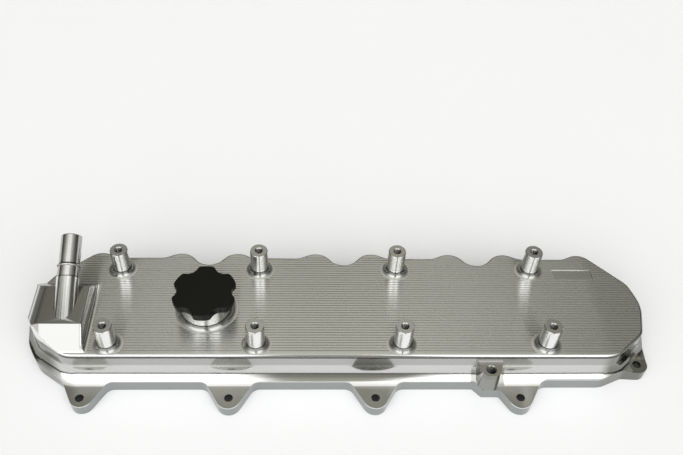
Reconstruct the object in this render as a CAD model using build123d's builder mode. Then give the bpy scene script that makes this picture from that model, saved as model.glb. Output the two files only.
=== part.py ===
from build123d import *
import math
import os

# Sizes in millimetres. Plan positions are stated from the middle of the front row of standoffs.
DATUM_X = -10.04
DATUM_Y = -30.20
PITCH = 111.76

# The blank that the walls are cut from, and how far the cutting blocks reach past the part.
BLANK_L = 570.0
BLANK_W = 190.0
BLANK_X = 10.0
BLANK_Y = 32.0
PAST = 300.0

FLANGE_H = 10.0
TOP_Z = 36.5
WALL_T = 5.0
ROOF_T = 5.5
CAVITY_Z = TOP_Z - ROOF_T
FOOT_FILLET_R = 12.7
TOP_EDGE_R = 2.4

BACK_ROW_Y = 74.9
STANDOFF_TOP_Z = 60.0
STANDOFF_R = 7.1
STANDOFF_FOOT_R = 4.4
STANDOFF_MARGIN = 1.2
POST_EDGE = 0.4
STANDOFF_BORE_R = 2.65
STANDOFF_BORE_D = 16.0
STANDOFF_X = [-1.5 * PITCH, -0.5 * PITCH, 0.5 * PITCH, 1.5 * PITCH]

LUG_X0 = -20.41
LUG_X = [LUG_X0 + x for x in STANDOFF_X]
LUG_Y = -30.7
LUG_HALF_BASE = 18.42
LUG_TIP_R = 9.2
LUG_VERTEX_Y = -49.1
LUG_BLEND_R = 8.0
LUG_BORE_R = 3.3
SPOTFACE_R = 7.2
EDGE_Y = -17.1
EDGE_RIGHT_Y = -15.5
BACK_EDGE_Y = 100.3

VALLEY_X = [13.6 - PITCH, 13.6, 13.6 + PITCH]
VALLEY_BOLT_Y = 91.2
RIGHT_FRONT_BOLT = (246.3, -0.5)
RIGHT_BACK_BOLT = (249.6, 69.5)
LEFT_BACK_BOLT = (-228.5, 72.5)

BACK_Y = 88.8
BUMP_HALF = 19.2
BUMP_Y = 97.1
BUMP_R = 15.2
VALLEY_Y = 73.96
VALLEY_R = 13.2
RUN_HALF = 37.0
RUN_R = 14.0

WALL_FRONT_Y = -10.7

NECK_X = -96.1
NECK_Y = 33.4
NECK_R = 19.9
NECK_TOP_Z = 53.8
NECK_FOOT_R = 4.8
NECK_BORE_R = 15.4
PLUG_GAP = 0.3
RING_SECTION_R = 1.2
RING_SEAT_D = 2.0
RING_SEAT_R = 18.2
RING_CENTRE_R = 16.7
CAP_TOP_Z = 60.0
CAP_LOBE_R = 25.1
CAP_NOTCH_R = 8.2
CAP_NOTCH_AT = 29.4
CAP_CORNER_R = 3.0
CAP_EDGE_R = 0.9
CAP_PLUG_L = 13.0
CAP_HOLLOW_R = 11.0
CAP_HOLLOW_D = 9.0
THREAD_PITCH = 3.0
THREAD_DEPTH = 0.9
THREAD_TURNS = 4

BLOCK_TOP_Z = 52.0
BLOCK_LOW_Z = 30.0
BLOCK_CUT_X = -160.0
BLOCK_LEFT_X = -231.8
BLOCK_LEFT_R = 14.2
BLOCK_RIGHT_X = -185.4
BLOCK_RIGHT_R = 2.0
BLOCK_FOOT_R = 3.0
BLOCK_RIM_R = 1.5
BLOCK_FRONT_Y = -8.0
BLOCK_BACK_Y = 44.0
FACET_EDGE_R = 5.0

AXIS_X = -201.7
AXIS_Y = 45.9
AXIS_Z = 59.05
AXIS_TILT = 26.0
VENT_BOSS_R = 8.6
VENT_BOSS_L = 38.0
VENT_PASSAGE_R = 5.6
VENT_PASSAGE_L = 30.0
VENT_SOCKET_R = 7.0
VENT_SOCKET_D = 12.0
VENT_CHAMBER_R = 8.0
VENT_CHAMBER_Y = 24.0
VENT_CHAMBER_TOP_Z = 48.5
TUBE_COLLAR_R = 8.35
TUBE_COLLAR_L = 9.4
TUBE_BEAD_R = 0.9
TUBE_R = 7.95
TUBE_L = 34.1
TUBE_BORE_R = 5.6
TUBE_CHAMFER = 0.6

SIDE_BOSS_X = 123.2
SIDE_BOSS_Y = -18.4
SIDE_BOSS_R = 5.8
SIDE_BOSS_Z = 30.0
SIDE_BOSS_CORNER_R = 5.4
SIDE_BOSS_LEFT_X = 112.8
SIDE_BOSS_FLAT_X = 118.9
SIDE_BOSS_RIGHT_X = 132.8
SIDE_BOSS_ROOT_X = 134.0
SIDE_BORE_R = 3.4
SIDE_BORE_D = 18.0
BORE_CHAMFER = 0.6

RIB_START_Y = -5.6
RIB_PITCH = 2.4
RIB_COUNT = 40
RIB_GROOVE_W = 0.8
RIB_DEPTH = 0.2
RIB_MARGIN = 2.7
RIB_CLEAR = 0.4
RECESS_X = 203.8
RECESS_Y = 71.0
RECESS_L = 33.0
RECESS_W = 10.0
RECESS_DEPTH = 0.5

SEAL_OFFSET_IN = 1.4
SEAL_W = 3.6
SEAL_H = 3.0
SEAL_GAP = 0.1

BAFFLE_X = -194.0
BAFFLE_Y = 34.0
BAFFLE_L = 46.0
BAFFLE_W = 54.0
BAFFLE_T = 1.6
BAFFLE_CORNER_R = 6.0
BAFFLE_POST_H = 6.0
BAFFLE_POST_R = 5.0
BAFFLE_PITCH_X = 34.0
BAFFLE_PITCH_Y = 42.0
BAFFLE_SLOT_L = 24.0
BAFFLE_SLOT_W = 5.0
BAFFLE_SLOT_PITCH = 20.0
SCREW_R = 2.0
SCREW_HEAD_R = 4.2
SCREW_HEAD_H = 2.4
SCREW_L = 5.0
SCREW_BORE_D = 6.5
SCREW_SOCKET_R = 1.5
SCREW_SOCKET_D = 1.4


def plan(z=0.0):
    """The horizontal workplane at height z, with its origin at the standoffs' datum."""
    return Plane(origin=(DATUM_X, DATUM_Y, z), x_dir=(1, 0, 0), z_dir=(0, 0, 1))


def blended_loop(corners):
    """Lines and tangent arcs of a closed outline, drawn in the current BuildLine.

    Each corner is its sharp place and the radius of its rounding, as (x, y, radius).
    """
    count = len(corners)
    arcs = []
    for i in range(count):
        x, y, radius = corners[i]
        before = Vector(*corners[i - 1][:2]) - Vector(x, y)
        after = Vector(*corners[(i + 1) % count][:2]) - Vector(x, y)
        before = before.normalized()
        after = after.normalized()
        half = before.get_angle(after) / 2
        reach = radius / math.tan(math.radians(half))
        middle = (before + after).normalized()
        centre = Vector(x, y) + middle * (radius / math.sin(math.radians(half)))
        start = Vector(x, y) + before * reach
        end = Vector(x, y) + after * reach
        arcs.append((start, centre - middle * radius, end))
    for i in range(count):
        start, crest, end = arcs[i]
        ThreePointArc(start, crest, end)
        Line(end, arcs[(i + 1) % count][0])


def wall_corners():
    """Corners of the walls' outer outline, anticlockwise from the front left."""
    corners = [
        (-199.4, WALL_FRONT_Y, 22.0),
        (221.7, WALL_FRONT_Y, 25.0),
        (246.8, 11.0, 14.0),
        (253.95, 39.35, 35.0),
        (248.0, 61.3, 16.0),
        (215.3, 96.1, 14.0),
        (199.0, BACK_Y, RUN_R),
    ]
    for x in reversed(VALLEY_X):
        corners.append((x + RUN_HALF, BACK_Y, RUN_R))
        corners.append((x + BUMP_HALF, BUMP_Y, BUMP_R))
        corners.append((x, VALLEY_Y, VALLEY_R))
        corners.append((x - BUMP_HALF, BUMP_Y, BUMP_R))
        corners.append((x - RUN_HALF, BACK_Y, RUN_R))
    corners.append((VALLEY_X[0] - PITCH + RUN_HALF, BACK_Y, RUN_R))
    corners.append((-189.2, 96.4, 15.0))
    corners.append((-221.5, 68.9, 20.0))
    corners.append((-231.5, 53.5, 20.0))
    corners.append((-234.0, 38.5, 30.0))
    corners.append((-230.5, 19.5, 25.0))
    corners.append((-222.5, 5.3, 20.0))
    return corners


def lug_corners(x, left, right):
    """The three corners of one front lug at x, its base corners at heights left and right."""
    slope = math.tan(math.radians(60.0))
    return [
        (x - LUG_HALF_BASE - (left - EDGE_Y) / slope, left, LUG_BLEND_R),
        (x, LUG_VERTEX_Y, LUG_TIP_R),
        (x + LUG_HALF_BASE + (right - EDGE_Y) / slope, right, LUG_BLEND_R),
    ]


def flange_corners():
    """Corners of the flange's outline, anticlockwise from the front left."""
    first = [
        (-226.6, 0.3, 26.0),
        (-203.9, -15.6, 6.0),
        (-187.5, -48.2, 8.9),
        lug_corners(LUG_X[0], EDGE_Y, EDGE_Y)[2],
    ]
    side = [
        (SIDE_BOSS_LEFT_X, EDGE_Y, 2.0),
        (SIDE_BOSS_FLAT_X, SIDE_BOSS_Y - SIDE_BOSS_R, 1.0),
        (SIDE_BOSS_RIGHT_X, SIDE_BOSS_Y - SIDE_BOSS_R, 3.0),
    ]
    right = [
        (215.2, EDGE_RIGHT_Y, 20.0),
        (233.5, -7.6, 8.0),
        (RIGHT_FRONT_BOLT[0] + 8.3, -8.9, 8.3),
        (RIGHT_FRONT_BOLT[0] + 8.3, 15.0, 4.0),
        (260.6, 39.35, 41.0),
        (258.8, 73.1, LUG_TIP_R),
        (233.4, BACK_EDGE_Y, 10.0),
    ]
    left = [
        (-210.2, BACK_EDGE_Y, 12.0),
        (-237.7, 76.8, LUG_TIP_R),
        (-240.5, 38.5, 36.0),
        (-236.5, 17.3, 31.0),
    ]
    middle = lug_corners(LUG_X[1], EDGE_Y, EDGE_Y) + lug_corners(LUG_X[2], EDGE_Y, EDGE_Y)
    last = lug_corners(LUG_X[3], EDGE_Y, EDGE_RIGHT_Y)[1:]
    return first + middle + side + last + right + left


def bolt_places():
    """Plan positions of the ten cover bolts."""
    front = [(x, LUG_Y) for x in LUG_X]
    back = [(x, VALLEY_BOLT_Y) for x in VALLEY_X]
    return front + back + [RIGHT_FRONT_BOLT, RIGHT_BACK_BOLT, LEFT_BACK_BOLT]


def standoff_places():
    """Plan positions of the standoffs, front row first."""
    return [(x, y) for y in (0.0, BACK_ROW_Y) for x in STANDOFF_X]


def foot_ring(radius, foot, top):
    """Corner points of a revolved post: its radius, the radius of its foot blend and its top."""
    low = TOP_Z - 1.0
    Polyline((0, low), (0, top), (radius - POST_EDGE, top), (radius, top - POST_EDGE), (radius, TOP_Z + foot))
    middle = foot * (1 - math.sqrt(0.5))
    ThreePointArc(
        (radius, TOP_Z + foot), (radius + middle, TOP_Z + middle), (radius + foot, TOP_Z)
    )
    Polyline((radius + foot, TOP_Z), (radius + foot, low), (0, low))


def wall_face(margin=0.0):
    """The walls' outline as a sketch, moved outwards by margin."""
    with BuildSketch() as outline:
        with BuildLine():
            blended_loop(wall_corners())
        make_face()
        if margin != 0.0:
            offset(amount=margin, mode=Mode.REPLACE)
    return outline.sketch


AXIS_SIN = math.sin(math.radians(AXIS_TILT))
AXIS_COS = math.cos(math.radians(AXIS_TILT))
VENT_POINT = (DATUM_X + AXIS_X, DATUM_Y + AXIS_Y, AXIS_Z)
VENT_CROSS = Plane(origin=VENT_POINT, x_dir=(1, 0, 0), z_dir=(0, AXIS_COS, AXIS_SIN))
VENT_SECTION = Plane(origin=VENT_POINT, x_dir=(1, 0, 0), z_dir=(0, -AXIS_SIN, AXIS_COS))
VENT_AXIS = Axis(VENT_POINT, (0, AXIS_COS, AXIS_SIN))
SECTION_LEFT = Plane(origin=(-PAST, DATUM_Y, 0), x_dir=(0, 1, 0), z_dir=(1, 0, 0))
SECTION_BACK = Plane(origin=(DATUM_X, PAST, 0), x_dir=(1, 0, 0), z_dir=(0, -1, 0))

# The walls and the flange, joined by the large blend and trimmed to the flange's outline.
with BuildPart() as shell:
    with BuildSketch(plan()):
        with Locations((BLANK_X, BLANK_Y)):
            Rectangle(BLANK_L, BLANK_W)
    extrude(amount=FLANGE_H)
    rim = [e.center() for e in shell.edges().filter_by_position(Axis.Z, FLANGE_H, FLANGE_H)]
    with BuildSketch(plan()):
        add(wall_face())
    extrude(amount=TOP_Z)
    level = shell.edges().filter_by_position(Axis.Z, FLANGE_H, FLANGE_H)
    foot_edges = [e for e in level if all((e.center() - c).length > 1 for c in rim)]
    fillet(foot_edges, FOOT_FILLET_R)
    fillet(shell.edges().filter_by_position(Axis.Z, TOP_Z, TOP_Z), TOP_EDGE_R)
    with BuildSketch(plan()):
        with BuildLine():
            blended_loop(flange_corners())
        make_face()
    extrude(amount=STANDOFF_TOP_Z, mode=Mode.INTERSECT)

# One standoff and the filler neck, each with its blended foot.
with BuildPart() as standoff:
    with BuildSketch(Plane.XZ):
        with BuildLine():
            foot_ring(STANDOFF_R, STANDOFF_FOOT_R, STANDOFF_TOP_Z)
        make_face()
    revolve(axis=Axis.Z)

with BuildPart() as standoffs:
    with Locations(*[(DATUM_X + x, DATUM_Y + y, 0) for x, y in standoff_places()]):
        add(standoff.part)
    with BuildSketch(plan()):
        add(wall_face(-STANDOFF_MARGIN))
    extrude(amount=STANDOFF_TOP_Z, mode=Mode.INTERSECT)

with BuildPart() as neck:
    with BuildSketch(Plane.XZ):
        with BuildLine():
            foot_ring(NECK_R, NECK_FOOT_R, NECK_TOP_Z)
        make_face()
    revolve(axis=Axis.Z)

# The vent block: the walls' outline cut to its side and front profiles, with its edges rounded.
with BuildPart() as vent_block:
    with BuildSketch(plan(BLOCK_LOW_Z)):
        add(wall_face())
        with Locations((BLOCK_CUT_X + PAST, 0)):
            Rectangle(2 * PAST, 2 * PAST, mode=Mode.SUBTRACT)
    extrude(amount=BLOCK_TOP_Z - BLOCK_LOW_Z)
    rise = BLOCK_TOP_Z - TOP_Z
    facet_top_y = BLOCK_FRONT_Y + rise
    with BuildSketch(SECTION_LEFT):
        with BuildLine():
            back_y = BLOCK_BACK_Y + BLOCK_TOP_Z - BLOCK_LOW_Z
            Polyline(
                (BLOCK_FRONT_Y, BLOCK_LOW_Z),
                (BLOCK_FRONT_Y, TOP_Z),
                (facet_top_y, BLOCK_TOP_Z),
                (BLOCK_BACK_Y, BLOCK_TOP_Z),
                (back_y, BLOCK_LOW_Z),
                close=True,
            )
        make_face()
        soft = vertices().filter_by_position(Axis.Z, BLOCK_TOP_Z, BLOCK_TOP_Z)
        fillet(soft, FACET_EDGE_R)
    extrude(amount=PAST, mode=Mode.INTERSECT)
    with BuildSketch(SECTION_BACK):
        with BuildLine():
            shoulder = BLOCK_LEFT_R * (1 - math.sqrt(0.5))
            hollow = BLOCK_FOOT_R * (1 - math.sqrt(0.5))
            ThreePointArc(
                (BLOCK_LEFT_X, BLOCK_TOP_Z - BLOCK_LEFT_R),
                (BLOCK_LEFT_X + shoulder, BLOCK_TOP_Z - shoulder),
                (BLOCK_LEFT_X + BLOCK_LEFT_R, BLOCK_TOP_Z),
            )
            Polyline(
                (BLOCK_LEFT_X + BLOCK_LEFT_R, BLOCK_TOP_Z),
                (BLOCK_RIGHT_X, BLOCK_TOP_Z),
                (BLOCK_RIGHT_X, TOP_Z + BLOCK_FOOT_R),
            )
            ThreePointArc(
                (BLOCK_RIGHT_X, TOP_Z + BLOCK_FOOT_R),
                (BLOCK_RIGHT_X + hollow, TOP_Z + hollow),
                (BLOCK_RIGHT_X + BLOCK_FOOT_R, TOP_Z),
            )
            Polyline(
                (BLOCK_RIGHT_X + BLOCK_FOOT_R, TOP_Z),
                (BLOCK_RIGHT_X + BLOCK_FOOT_R, BLOCK_LOW_Z),
                (BLOCK_LEFT_X, BLOCK_LOW_Z),
                (BLOCK_LEFT_X, BLOCK_TOP_Z - BLOCK_LEFT_R),
            )
        make_face()
    extrude(amount=2 * PAST, mode=Mode.INTERSECT)
    right_x = DATUM_X + BLOCK_RIGHT_X
    crest = vent_block.edges().filter_by_position(Axis.X, right_x - 0.01, right_x + 0.01)
    fillet([e for e in crest if e.center().Z > TOP_Z + BLOCK_FOOT_R + 0.1], BLOCK_RIGHT_R)
    rim = []
    for wall in vent_block.faces():
        around = wall.bounding_box()
        upright = abs(wall.normal_at(wall.center()).Z) < 0.01 and around.max.Z > TOP_Z + 1
        if upright and DATUM_X + BLOCK_LEFT_X < around.min.X - 0.1 and around.max.X < right_x - 1:
            rim.extend(e for e in wall.edges() if e.center().Z > TOP_Z and abs((e % 0.5).Z) < 0.98)
    fillet(rim, BLOCK_RIM_R)
    with BuildSketch(VENT_CROSS):
        Circle(VENT_BOSS_R)
    extrude(amount=-VENT_BOSS_L)

# The cover itself.
with BuildPart() as cover_body:
    add(shell.part)
    with BuildSketch(plan(TOP_Z)):
        for i in range(RIB_COUNT):
            with Locations((0, RIB_START_Y + i * RIB_PITCH)):
                Rectangle(2 * PAST, RIB_GROOVE_W)
        with BuildSketch(mode=Mode.PRIVATE) as ribbed:
            add(wall_face(-RIB_MARGIN))
            with Locations(*standoff_places()):
                Circle(STANDOFF_R + STANDOFF_FOOT_R + RIB_CLEAR, mode=Mode.SUBTRACT)
            with Locations((NECK_X, NECK_Y)):
                Circle(NECK_R + NECK_FOOT_R + RIB_CLEAR, mode=Mode.SUBTRACT)
            with Locations((RECESS_X, RECESS_Y)):
                Rectangle(RECESS_L + RIB_PITCH, RECESS_W + RIB_PITCH, mode=Mode.SUBTRACT)
            foot_x = BLOCK_RIGHT_X + BLOCK_FOOT_R + RIB_CLEAR
            foot_y = BLOCK_BACK_Y + BLOCK_TOP_Z - TOP_Z + RIB_CLEAR
            with Locations((foot_x, foot_y)):
                Rectangle(PAST, PAST, align=(Align.MAX, Align.MAX), mode=Mode.SUBTRACT)
        add(ribbed.sketch, mode=Mode.INTERSECT)
    extrude(amount=-RIB_DEPTH, mode=Mode.SUBTRACT)
    with BuildSketch(plan(TOP_Z)):
        with Locations((RECESS_X, RECESS_Y)):
            Rectangle(RECESS_L, RECESS_W)
    extrude(amount=-RECESS_DEPTH, mode=Mode.SUBTRACT)
    add(standoffs.part)
    with Locations((DATUM_X + NECK_X, DATUM_Y + NECK_Y, 0)):
        add(neck.part)
    add(vent_block.part)
    with BuildSketch(plan()):
        with BuildLine():
            blended_loop(
                [
                    (SIDE_BOSS_LEFT_X + 0.6, -8.0, 0.5),
                    (SIDE_BOSS_X - 6.4, SIDE_BOSS_Y - SIDE_BOSS_R, SIDE_BOSS_CORNER_R),
                    (SIDE_BOSS_X + 6.6, SIDE_BOSS_Y - SIDE_BOSS_R, SIDE_BOSS_CORNER_R),
                    (SIDE_BOSS_ROOT_X, -8.0, 0.5),
                ]
            )
        make_face()
    extrude(amount=SIDE_BOSS_Z)
    # The hollow underside and the groove of the seal.
    with BuildSketch(plan()):
        add(wall_face(-WALL_T))
    extrude(amount=CAVITY_Z, mode=Mode.SUBTRACT)
    with BuildSketch(plan()):
        add(wall_face(SEAL_W - SEAL_OFFSET_IN))
        with BuildSketch(mode=Mode.PRIVATE) as inner:
            add(wall_face(-SEAL_OFFSET_IN))
        add(inner.sketch, mode=Mode.SUBTRACT)
    extrude(amount=SEAL_H, mode=Mode.SUBTRACT)
    with BuildSketch(plan(CAVITY_Z)):
        with Locations((BAFFLE_X, BAFFLE_Y)):
            with GridLocations(BAFFLE_PITCH_X, BAFFLE_PITCH_Y, 2, 2):
                Circle(BAFFLE_POST_R)
    extrude(amount=-BAFFLE_POST_H)
    with BuildSketch(plan(CAVITY_Z - BAFFLE_POST_H)):
        with Locations((BAFFLE_X, BAFFLE_Y)):
            with GridLocations(BAFFLE_PITCH_X, BAFFLE_PITCH_Y, 2, 2):
                Circle(SCREW_R)
    extrude(amount=SCREW_BORE_D, mode=Mode.SUBTRACT)
    # Holes: cover bolts with their spot faces, standoffs, side boss, filler neck and vent.
    with BuildSketch(plan()):
        with Locations(*bolt_places()):
            Circle(LUG_BORE_R)
    extrude(amount=FLANGE_H + FOOT_FILLET_R, mode=Mode.SUBTRACT)
    with BuildSketch(plan(FLANGE_H)):
        with Locations(*bolt_places()):
            Circle(SPOTFACE_R)
    extrude(amount=FOOT_FILLET_R + 5.0, mode=Mode.SUBTRACT)
    with BuildSketch(plan(STANDOFF_TOP_Z)):
        with Locations(*standoff_places()):
            Circle(STANDOFF_BORE_R)
    extrude(amount=-STANDOFF_BORE_D, mode=Mode.SUBTRACT)
    with BuildSketch(plan(SIDE_BOSS_Z)):
        with Locations((SIDE_BOSS_X, SIDE_BOSS_Y)):
            Circle(SIDE_BORE_R)
    extrude(amount=-SIDE_BORE_D, mode=Mode.SUBTRACT)
    with BuildSketch(plan(NECK_TOP_Z)):
        with Locations((NECK_X, NECK_Y)):
            Circle(NECK_BORE_R)
    extrude(amount=CAVITY_Z - NECK_TOP_Z - 1.0, mode=Mode.SUBTRACT)
    with BuildSketch(plan(NECK_TOP_Z)):
        with Locations((NECK_X, NECK_Y)):
            Circle(RING_SEAT_R)
    extrude(amount=-RING_SEAT_D, mode=Mode.SUBTRACT)
    with BuildSketch(plan(CAVITY_Z - 1.0)):
        with Locations((AXIS_X, VENT_CHAMBER_Y)):
            Circle(VENT_CHAMBER_R)
    extrude(amount=VENT_CHAMBER_TOP_Z - CAVITY_Z + 1.0, mode=Mode.SUBTRACT)
    with BuildSketch(VENT_CROSS):
        Circle(VENT_SOCKET_R)
    extrude(amount=-VENT_SOCKET_D, mode=Mode.SUBTRACT)
    with BuildSketch(VENT_CROSS):
        Circle(VENT_PASSAGE_R)
    extrude(amount=-VENT_PASSAGE_L, mode=Mode.SUBTRACT)
    mouths = cover_body.edges().filter_by(GeomType.CIRCLE)
    tops = mouths.filter_by_position(Axis.Z, STANDOFF_TOP_Z, STANDOFF_TOP_Z)
    side = mouths.filter_by_position(Axis.Z, SIDE_BOSS_Z, SIDE_BOSS_Z)
    rims = [e for e in tops + side if min(STANDOFF_BORE_R, SIDE_BORE_R) <= e.radius <= SIDE_BORE_R]
    chamfer(rims, BORE_CHAMFER)
cover_body.part.label = "cover_body"

# The vent tube: press-fit spigot, collar, bead and hose length.
with BuildPart() as vent_tube:
    with BuildSketch(VENT_SECTION):
        with BuildLine():
            spigot = -VENT_SOCKET_D + PLUG_GAP
            neck_end = TUBE_COLLAR_L - TUBE_BEAD_R
            bead_end = TUBE_COLLAR_L + TUBE_BEAD_R
            Polyline(
                (TUBE_COLLAR_R, neck_end),
                (TUBE_COLLAR_R, 0),
                (VENT_SOCKET_R, 0),
                (VENT_SOCKET_R, spigot),
                (TUBE_BORE_R, spigot),
                (TUBE_BORE_R, TUBE_L - TUBE_CHAMFER),
                (TUBE_BORE_R + TUBE_CHAMFER, TUBE_L),
                (TUBE_R - TUBE_CHAMFER, TUBE_L),
                (TUBE_R, TUBE_L - TUBE_CHAMFER),
                (TUBE_R, bead_end),
                (TUBE_COLLAR_R, bead_end),
            )
            crest = (TUBE_COLLAR_R + TUBE_BEAD_R, TUBE_COLLAR_L)
            ThreePointArc((TUBE_COLLAR_R, bead_end), crest, (TUBE_COLLAR_R, neck_end))
        make_face()
    revolve(axis=VENT_AXIS)
vent_tube.part.label = "vent_tube"

# The filler cap: six-lobed head and a hollow plug with thread grooves.
PLUG_R = NECK_BORE_R - PLUG_GAP
CAP_LOW_Z = NECK_TOP_Z - RING_SEAT_D + 2 * RING_SECTION_R
with BuildPart() as filler_cap:
    with BuildSketch(plan(CAP_LOW_Z)):
        with Locations((NECK_X, NECK_Y)):
            Circle(CAP_LOBE_R)
            with PolarLocations(CAP_NOTCH_AT, 6):
                Circle(CAP_NOTCH_R, mode=Mode.SUBTRACT)
        fillet(vertices(), CAP_CORNER_R)
    extrude(amount=CAP_TOP_Z - CAP_LOW_Z)
    fillet(filler_cap.edges().filter_by_position(Axis.Z, CAP_TOP_Z, CAP_TOP_Z), CAP_EDGE_R)
    fillet(filler_cap.edges().filter_by_position(Axis.Z, CAP_LOW_Z, CAP_LOW_Z), CAP_EDGE_R)
    with BuildSketch(plan(CAP_LOW_Z)):
        with Locations((NECK_X, NECK_Y)):
            Circle(PLUG_R)
    extrude(amount=-CAP_PLUG_L)
    plug_end = filler_cap.edges().filter_by_position(
        Axis.Z, CAP_LOW_Z - CAP_PLUG_L, CAP_LOW_Z - CAP_PLUG_L
    )
    chamfer(plug_end, THREAD_DEPTH)
    section = Plane(
        origin=(DATUM_X + NECK_X, DATUM_Y + NECK_Y, 0), x_dir=(1, 0, 0), z_dir=(0, -1, 0)
    )
    with BuildSketch(section):
        for i in range(THREAD_TURNS):
            z = CAP_LOW_Z - CAP_PLUG_L + 2.0 + i * THREAD_PITCH
            half = THREAD_PITCH / 3
            with BuildLine():
                Polyline(
                    (PLUG_R + 0.1, z - half),
                    (PLUG_R + 0.1, z + half),
                    (PLUG_R - THREAD_DEPTH, z),
                    close=True,
                )
            make_face()
    cap_axis = Axis((DATUM_X + NECK_X, DATUM_Y + NECK_Y, 0), (0, 0, 1))
    revolve(axis=cap_axis, mode=Mode.SUBTRACT)
    with BuildSketch(plan(CAP_LOW_Z - CAP_PLUG_L)):
        with Locations((NECK_X, NECK_Y)):
            Circle(CAP_HOLLOW_R)
    extrude(amount=CAP_HOLLOW_D, mode=Mode.SUBTRACT)
filler_cap.part.label = "filler_cap"

with BuildPart() as filler_cap_o_ring:
    with BuildSketch(section):
        with Locations((RING_CENTRE_R, CAP_LOW_Z - RING_SECTION_R)):
            Circle(RING_SECTION_R)
    revolve(axis=cap_axis)
filler_cap_o_ring.part.label = "filler_cap_o_ring"

with BuildPart() as perimeter_seal:
    with BuildSketch(plan()):
        add(wall_face(SEAL_W - SEAL_OFFSET_IN - SEAL_GAP))
        with BuildSketch(mode=Mode.PRIVATE) as seal_inner:
            add(wall_face(SEAL_GAP - SEAL_OFFSET_IN))
        add(seal_inner.sketch, mode=Mode.SUBTRACT)
    extrude(amount=SEAL_H - SEAL_GAP)
perimeter_seal.part.label = "perimeter_seal"

BAFFLE_Z = CAVITY_Z - BAFFLE_POST_H
with BuildPart() as baffle_plate:
    with BuildSketch(plan(BAFFLE_Z)):
        with Locations((BAFFLE_X, BAFFLE_Y)):
            RectangleRounded(BAFFLE_L, BAFFLE_W, BAFFLE_CORNER_R)
            with GridLocations(BAFFLE_PITCH_X, BAFFLE_PITCH_Y, 2, 2):
                Circle(SCREW_R + PLUG_GAP, mode=Mode.SUBTRACT)
            with GridLocations(0, BAFFLE_SLOT_PITCH, 1, 2):
                SlotOverall(BAFFLE_SLOT_L, BAFFLE_SLOT_W, mode=Mode.SUBTRACT)
    extrude(amount=-BAFFLE_T)
baffle_plate.part.label = "baffle_plate"

with BuildPart() as baffle_screw:
    head_z = BAFFLE_Z - BAFFLE_T
    with BuildSketch(plan(head_z)):
        with Locations((BAFFLE_X, BAFFLE_Y)):
            with GridLocations(BAFFLE_PITCH_X, BAFFLE_PITCH_Y, 2, 2):
                Circle(SCREW_R)
    extrude(amount=BAFFLE_T + SCREW_L)
    with BuildSketch(plan(head_z)):
        with Locations((BAFFLE_X, BAFFLE_Y)):
            with GridLocations(BAFFLE_PITCH_X, BAFFLE_PITCH_Y, 2, 2):
                Circle(SCREW_HEAD_R)
    extrude(amount=-SCREW_HEAD_H)
    low_z = head_z - SCREW_HEAD_H
    fillet(baffle_screw.edges().filter_by_position(Axis.Z, low_z, low_z), SCREW_HEAD_H / 2)
    with BuildSketch(plan(low_z)):
        with Locations((BAFFLE_X, BAFFLE_Y)):
            with GridLocations(BAFFLE_PITCH_X, BAFFLE_PITCH_Y, 2, 2):
                RegularPolygon(SCREW_SOCKET_R, 6)
    extrude(amount=SCREW_SOCKET_D, mode=Mode.SUBTRACT)
baffle_screw.part.label = "baffle_screw"

os.makedirs("parts", exist_ok=True)
export_step(cover_body.part, "parts/cover_body.step")
export_step(vent_tube.part, "parts/vent_tube.step")
export_step(filler_cap.part, "parts/filler_cap.step")
export_step(filler_cap_o_ring.part, "parts/filler_cap_o_ring.step")
export_step(perimeter_seal.part, "parts/perimeter_seal.step")
export_step(baffle_plate.part, "parts/baffle_plate.step")
export_step(baffle_screw.part, "parts/baffle_screw.step")
print(cover_body.part.bounding_box(), len(cover_body.part.solids()), cover_body.part.volume)
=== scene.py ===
"""Looks of the engine valve cover: finishes, turned and threaded details, studio and camera."""
import logging
import math
from dataclasses import dataclass, field
from enum import Enum
from typing import Callable, Union

import bmesh
import bpy
from mathutils import Matrix, Vector


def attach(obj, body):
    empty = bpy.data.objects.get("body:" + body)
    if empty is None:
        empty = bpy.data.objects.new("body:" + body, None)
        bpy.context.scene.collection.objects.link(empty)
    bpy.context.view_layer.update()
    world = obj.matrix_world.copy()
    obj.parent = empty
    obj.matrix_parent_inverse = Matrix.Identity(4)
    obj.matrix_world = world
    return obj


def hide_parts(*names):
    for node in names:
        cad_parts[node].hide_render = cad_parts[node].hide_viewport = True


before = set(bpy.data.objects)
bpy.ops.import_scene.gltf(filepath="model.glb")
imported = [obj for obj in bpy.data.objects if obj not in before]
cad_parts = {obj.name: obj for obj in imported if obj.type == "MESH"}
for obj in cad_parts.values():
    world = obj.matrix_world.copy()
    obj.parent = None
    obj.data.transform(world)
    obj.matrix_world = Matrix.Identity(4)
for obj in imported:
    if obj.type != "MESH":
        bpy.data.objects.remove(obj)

LOG = logging.getLogger("valve_cover")
MM = 0.001
DATUM = Vector((-10.04, -30.20, 0.0))
QUARTER_TURN = 0.25
Number = Union[int, float]
Colour = tuple[float, float, float]
Span = tuple[float, float]
Band = tuple[float, float, float]
Tone = tuple[Colour, float]
Settings = dict[str, object]


def mm(*sizes: float) -> tuple[float, ...]:
    """Sizes in metres from millimetres."""
    return tuple(size * MM for size in sizes)


def place(x: float, y: float, z: float) -> Vector:
    """A point in metres from millimetres stated at the front row of standoffs.

    Args:
        x: Distance along the cover from the middle of the front row.
        y: Distance back from the front row.
        z: Height above the sealing face.

    Returns:
        The point in the part's own frame.
    """
    return (Vector((x, y, z)) + DATUM) * MM


class Cutter(Enum):
    """Which way the cutter's marks run on a face, as the stretch of their noise."""

    ALONG = (1.5, 700.0, 60.0)
    LEVEL = (3.0, 3.0, 1500.0)


@dataclass(frozen=True)
class Noise:
    """Smooth noise: its features in a metre, its finer layers and how strong those are."""

    scale: float = 1.0
    detail: float = 2.0
    rough: float = 0.5


# Nodes ----------------------------------------------------------------------------------------


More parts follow.
